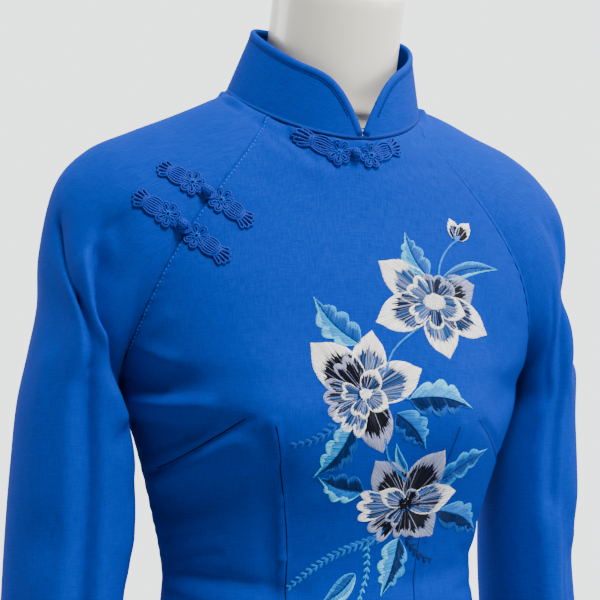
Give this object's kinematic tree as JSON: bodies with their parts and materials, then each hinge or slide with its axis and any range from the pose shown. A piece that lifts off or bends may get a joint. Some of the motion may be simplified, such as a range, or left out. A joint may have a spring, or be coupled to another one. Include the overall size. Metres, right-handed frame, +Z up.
{
  "type": "ao dai on a limbless dress form with a stand",
  "caption": "Long raglan-sleeved tunic with a mandarin collar, knotted-cord frogs and side slits, worn by a limbless dress form on a pole and round base.",
  "frame": {"origin": "centre of the stand base's underside, on the floor", "axes": "+Z up, the wearer faces -Y, the wearer's right arm towards -X"},
  "size_m": [0.4686, 0.34, 1.4882],
  "materials": {
    "crepe": "royal-blue crepe, matt with a soft sheen",
    "cord": "royal-blue satin cord",
    "form_shell": "cream, smooth and softly glossy",
    "form_cap": "pale cream, smooth",
    "steel": "brushed steel",
    "hook_wire": "nickel-plated wire"
  },
  "bodies": {
    "root": {"front_panel": "crepe", "back_panel": "crepe", "sleeve_right": "crepe", "sleeve_left": "crepe", "collar": "crepe", "collar_binding": "crepe", "frog_neck_right": "cord", "frog_neck_left": "cord", "frog_upper_outer": "cord", "frog_upper_inner": "cord", "frog_lower_outer": "cord", "frog_lower_inner": "cord", "knot_neck": "cord", "knot_upper": "cord", "knot_lower": "cord", "collar_hook": "hook_wire", "collar_eye": "hook_wire", "form_torso": "form_shell", "form_neck_cap": "form_cap", "stand_pole": "steel", "stand_base": "steel"}
  },
  "joints": []
}
